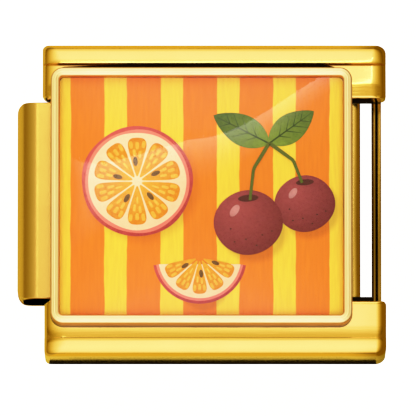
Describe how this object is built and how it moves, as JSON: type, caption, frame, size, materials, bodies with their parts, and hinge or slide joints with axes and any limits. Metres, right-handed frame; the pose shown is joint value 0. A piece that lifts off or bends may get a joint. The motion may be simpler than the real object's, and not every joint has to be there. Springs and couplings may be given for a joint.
{
  "type": "bracelet charm link",
  "caption": "Gold-plated stretch-bracelet charm link: a framed picture under a clear resin dome on a railed body, with a sprung hook sleeve that slides out behind it.",
  "frame": {"origin": "centre of the link's outline seen from above, at the height of its back face, which touches the wrist", "axes": "+X along the bracelet towards the hinge bar, +Y across the bracelet, +Z out of the picture"},
  "size_m": [0.0106, 0.009, 0.0035],
  "materials": {
    "gold_plate": "polished",
    "printed_picture": "satin",
    "clear_resin": "polished",
    "spring_steel": "satin"
  },
  "bodies": {
    "link_frame": {"link_body": "gold_plate", "hinge_bar": "gold_plate", "retaining_bar": "gold_plate", "bezel_tray": "gold_plate", "picture_plate": "printed_picture", "resin_dome": "clear_resin"},
    "spring_pair": {"leaf_spring_near": "spring_steel", "leaf_spring_far": "spring_steel"},
    "sliding_sleeve": {"hook_sleeve": "gold_plate"}
  },
  "joints": [
    {"name": "sleeve_tilt", "type": "hinge", "parent": "link_frame", "child": "spring_pair", "pos_m": [-0.00428, 0, 0.00095], "axis": [0, 1, 0], "range_deg": [0, 12], "stiffness_Nm_per_rad": 0.02, "deforming": ["leaf_spring_near", "leaf_spring_far"]},
    {"name": "sleeve_pull", "type": "slide", "parent": "spring_pair", "child": "sliding_sleeve", "axis": [-1, 0, 0], "range_m": [0, 0.002], "stiffness_N_per_m": 1000, "deforming": ["leaf_spring_near", "leaf_spring_far"]}
  ]
}
